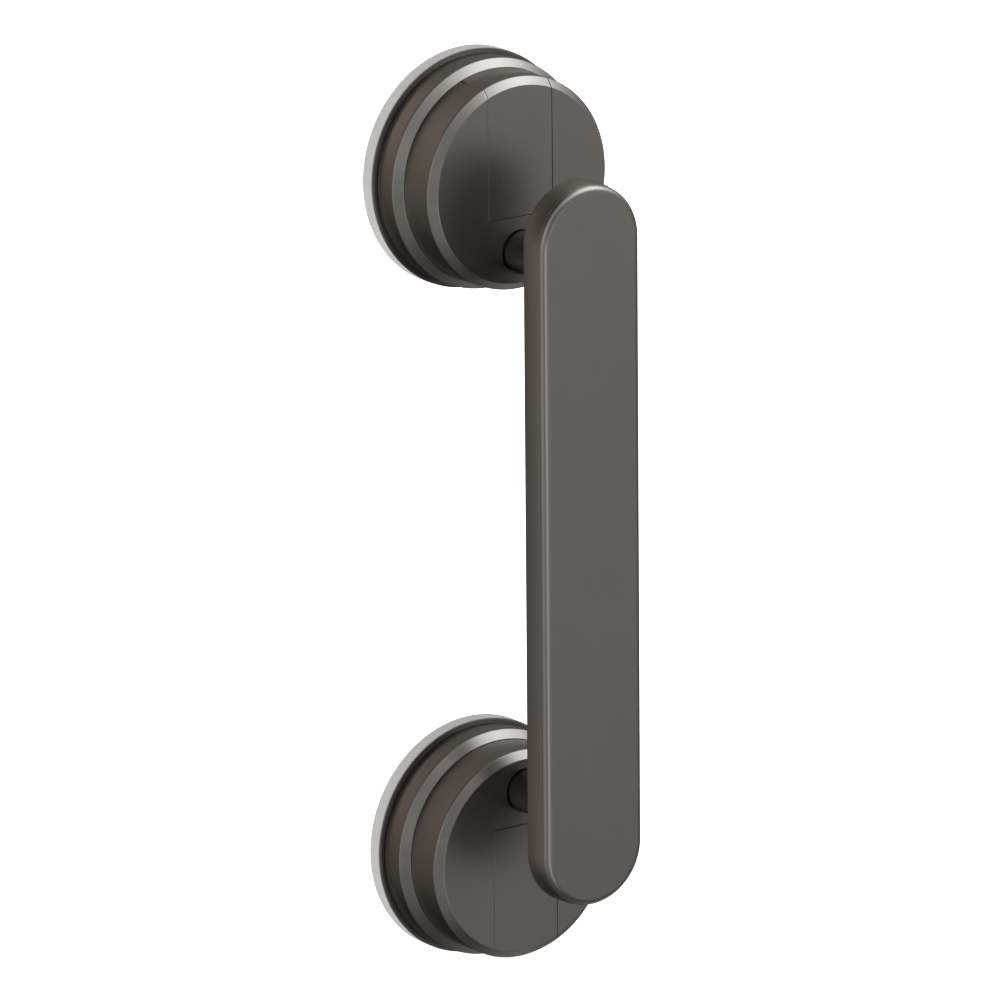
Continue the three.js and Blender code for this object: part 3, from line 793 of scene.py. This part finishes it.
# the CAD nodes that stay: hidden fasteners, with a bevel and their own finish
for node_name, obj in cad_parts.items():
    if obj.hide_render:
        continue
    obj.data.materials.clear()
    obj.data.materials.append(BRASS if "insert" in node_name else ZINC)
    soft_edges = obj.modifiers.new("soft_edges", "BEVEL")
    soft_edges.width = 0.00012
    soft_edges.segments = 2
    soft_edges.limit_method = "ANGLE"
    soft_edges.angle_limit = math.radians(50)

# ------------------------------------------------------------------ floor
FLOOR_Z = -0.1575
FLOOR_HALF = 14.0


def floor_white():
    """Matt white that glows a little, so that it stays even."""
    m = Surface("floor_white")
    grain = m.noise(m.position(), scale=30)
    return m.finish({
        "Base Color": m.mix(m.remap(grain, to=(0.0, 1.0)), (0.93, 0.93, 0.93), (0.95, 0.95, 0.95)),
        "Roughness": 0.95,
        "Specular IOR Level": 0.0,
        "Emission Color": (1, 1, 1),
        "Emission Strength": 0.7,
    })


def build_floor():
    bm = bmesh.new()
    bm.faces.new([bm.verts.new((x * FLOOR_HALF, y * FLOOR_HALF, FLOOR_Z))
                  for x, y in ((-1, -1), (1, -1), (1, 1), (-1, 1))])
    mesh = bpy.data.meshes.new("floor")
    bm.to_mesh(mesh)
    bm.free()
    floor = bpy.data.objects.new("floor", mesh)
    bpy.context.scene.collection.objects.link(floor)
    mesh.materials.append(floor_white())
    floor.visible_glossy = False


build_floor()

# ------------------------------------------------------------------ light
# soft boxes seen in reflections: direction, tightness, colour
LOBES = [
    ((0.365, -0.415, 0.833), 16, (1.964, 2.191, 2.305)),
    ((0.641, 0.043, 0.767), 16, (1.563, 1.697, 1.835)),
    ((0.663, -0.362, 0.656), 16, (1.769, 1.807, 1.871)),
    ((-0.337, -0.897, -0.286), 30, (1.181, 1.250, 1.285)),
    ((-0.909, -0.359, 0.211), 16, (0.983, 1.022, 1.037)),
    ((0.869, -0.131, 0.478), 16, (0.666, 0.701, 0.650)),
    ((-0.085, -0.428, 0.900), 16, (0.577, 0.513, 0.444)),
    ((0.831, -0.547, -0.100), 16, (0.281, 0.216, 0.216)),
    ((0.072, -0.997, -0.033), 16, (0.322, 0.338, 0.344)),
    ((-0.307, -0.817, -0.488), 30, (0.399, 0.439, 0.462)),
    ((0.664, -0.066, -0.744), 16, (0.375, 0.446, 0.468)),
    ((-0.106, 0.933, 0.344), 16, (0.602, 0.536, 0.464)),
    ((-0.280, -0.741, -0.611), 16, (0.461, 0.478, 0.431)),
    ((-0.958, -0.023, -0.286), 30, (0.251, 0.254, 0.319)),
    ((-0.424, -0.444, 0.789), 16, (0.343, 0.387, 0.446)),
    ((0.400, -0.892, -0.211), 16, (0.423, 0.445, 0.461)),
    ((-0.714, -0.176, 0.678), 16, (0.053, 0.055, 0.069)),
    ((-0.902, 0.389, -0.189), 16, (0.237, 0.201, 0.183)),
    ((0.386, 0.284, 0.878), 16, (0.721, 0.665, 0.555)),
    ((-0.719, -0.483, 0.500), 16, (0.298, 0.307, 0.278)),
    ((-0.441, 0.882, 0.167), 16, (0.347, 0.303, 0.267)),
    ((0.374, 0.096, -0.922), 16, (0.271, 0.242, 0.219)),
    ((-0.984, -0.158, -0.078), 16, (0.060, 0.078, 0.070)),
    ((-0.803, -0.242, -0.544), 16, (0.170, 0.176, 0.221)),
    ((0.931, 0.324, -0.167), 16, (0.364, 0.363, 0.364)),
    ((-0.290, 0.155, -0.944), 16, (0.151, 0.162, 0.167)),
    ((-0.317, -0.725, 0.611), 16, (0.113, 0.130, 0.103)),
    ((0.594, -0.801, 0.078), 16, (0.183, 0.180, 0.143)),
    ((0.656, 0.633, 0.411), 16, (0.213, 0.185, 0.164)),
    ((-0.927, -0.024, -0.375), 7, (0.309, 0.337, 0.276)),
    ((-0.713, 0.513, -0.478), 16, (0.176, 0.151, 0.136)),
]
AMBIENT = (0.012, 0.011, 0.01)  # added to the lobes in reflections
FILL_STRENGTH = 1.6  # even white light on everything else


def build_world():
    """Reflections see the lobes, the camera sees white, and other rays get an even fill."""
    world = bpy.data.worlds.new("studio")
    bpy.context.scene.world = world
    world.use_nodes = True
    world.cycles.sampling_method = "NONE"
    g = Graph(world.node_tree)
    g.tree.nodes.clear()
    direction = g.new("ShaderNodeTexCoord").outputs["Generated"]
    total = None
    for toward, tightness, colour in LOBES:
        # colour * exp(tightness * (cos(angle) - 1))
        unit = tuple(np.array(toward) / np.linalg.norm(toward))
        cosine = g.vector("DOT_PRODUCT", {0: direction, 1: unit}).outputs["Value"]
        falloff = g.math("EXPONENT", g.math("MULTIPLY_ADD", cosine, tightness, -tightness))
        lobe = g.vector("SCALE", {0: colour, "Scale": falloff}).outputs[0]
        total = lobe if total is None else g.vector("ADD", {0: total, 1: lobe}).outputs[0]
    total = g.vector("ADD", {0: total, 1: AMBIENT}).outputs[0]

    def background(colour, strength=1.0):
        return g.new("ShaderNodeBackground", {"Color": colour, "Strength": strength}).outputs[0]

    reflected = background(total)
    fill = background((1, 1, 1), FILL_STRENGTH)
    shown = background((1, 1, 1))
    rays = g.new("ShaderNodeLightPath").outputs
    lit = g.new("ShaderNodeMixShader", {0: rays["Is Glossy Ray"], 1: fill, 2: reflected})
    seen = g.new("ShaderNodeMixShader", {0: rays["Is Camera Ray"], 1: lit.outputs[0], 2: shown})
    g.new("ShaderNodeOutputWorld", {"Surface": seen.outputs[0]})


build_world()
bpy.context.scene.view_settings.view_transform = "Standard"
bpy.context.scene.view_settings.look = "None"

# ------------------------------------------------------------------ camera
# in front of the bar, to its left (-X) and a little above
AZIMUTH, ELEVATION, ROLL = 0.618, 0.281, -0.008  # radians
CAMERA_DISTANCE = 4034.0  # from the wall plane's middle
CAMERA_SHIFT = 11.42  # along the camera's own right
LENS, SENSOR_WIDTH = 441.828, 36.0


def build_camera():
    back = np.array([-math.sin(AZIMUTH) * math.cos(ELEVATION),
                     -math.cos(AZIMUTH) * math.cos(ELEVATION), math.sin(ELEVATION)])
    level = np.array([math.cos(AZIMUTH), -math.sin(AZIMUTH), 0.0])
    upright = np.cross(back, level)
    right = math.cos(ROLL) * level + math.sin(ROLL) * upright
    up = -math.sin(ROLL) * level + math.cos(ROLL) * upright
    eye = CAMERA_SHIFT * right + CAMERA_DISTANCE * back + np.array([0, WALL_Y, 0])
    data = bpy.data.cameras.new("camera")
    camera = bpy.data.objects.new("camera", data)
    bpy.context.scene.collection.objects.link(camera)
    rows = np.column_stack([right, up, back, eye * MM]).tolist()
    camera.matrix_world = Matrix(rows + [[0, 0, 0, 1]])
    data.sensor_width = SENSOR_WIDTH
    data.lens = LENS
    data.clip_start = 0.1
    data.clip_end = 100.0
    bpy.context.scene.camera = camera


build_camera()
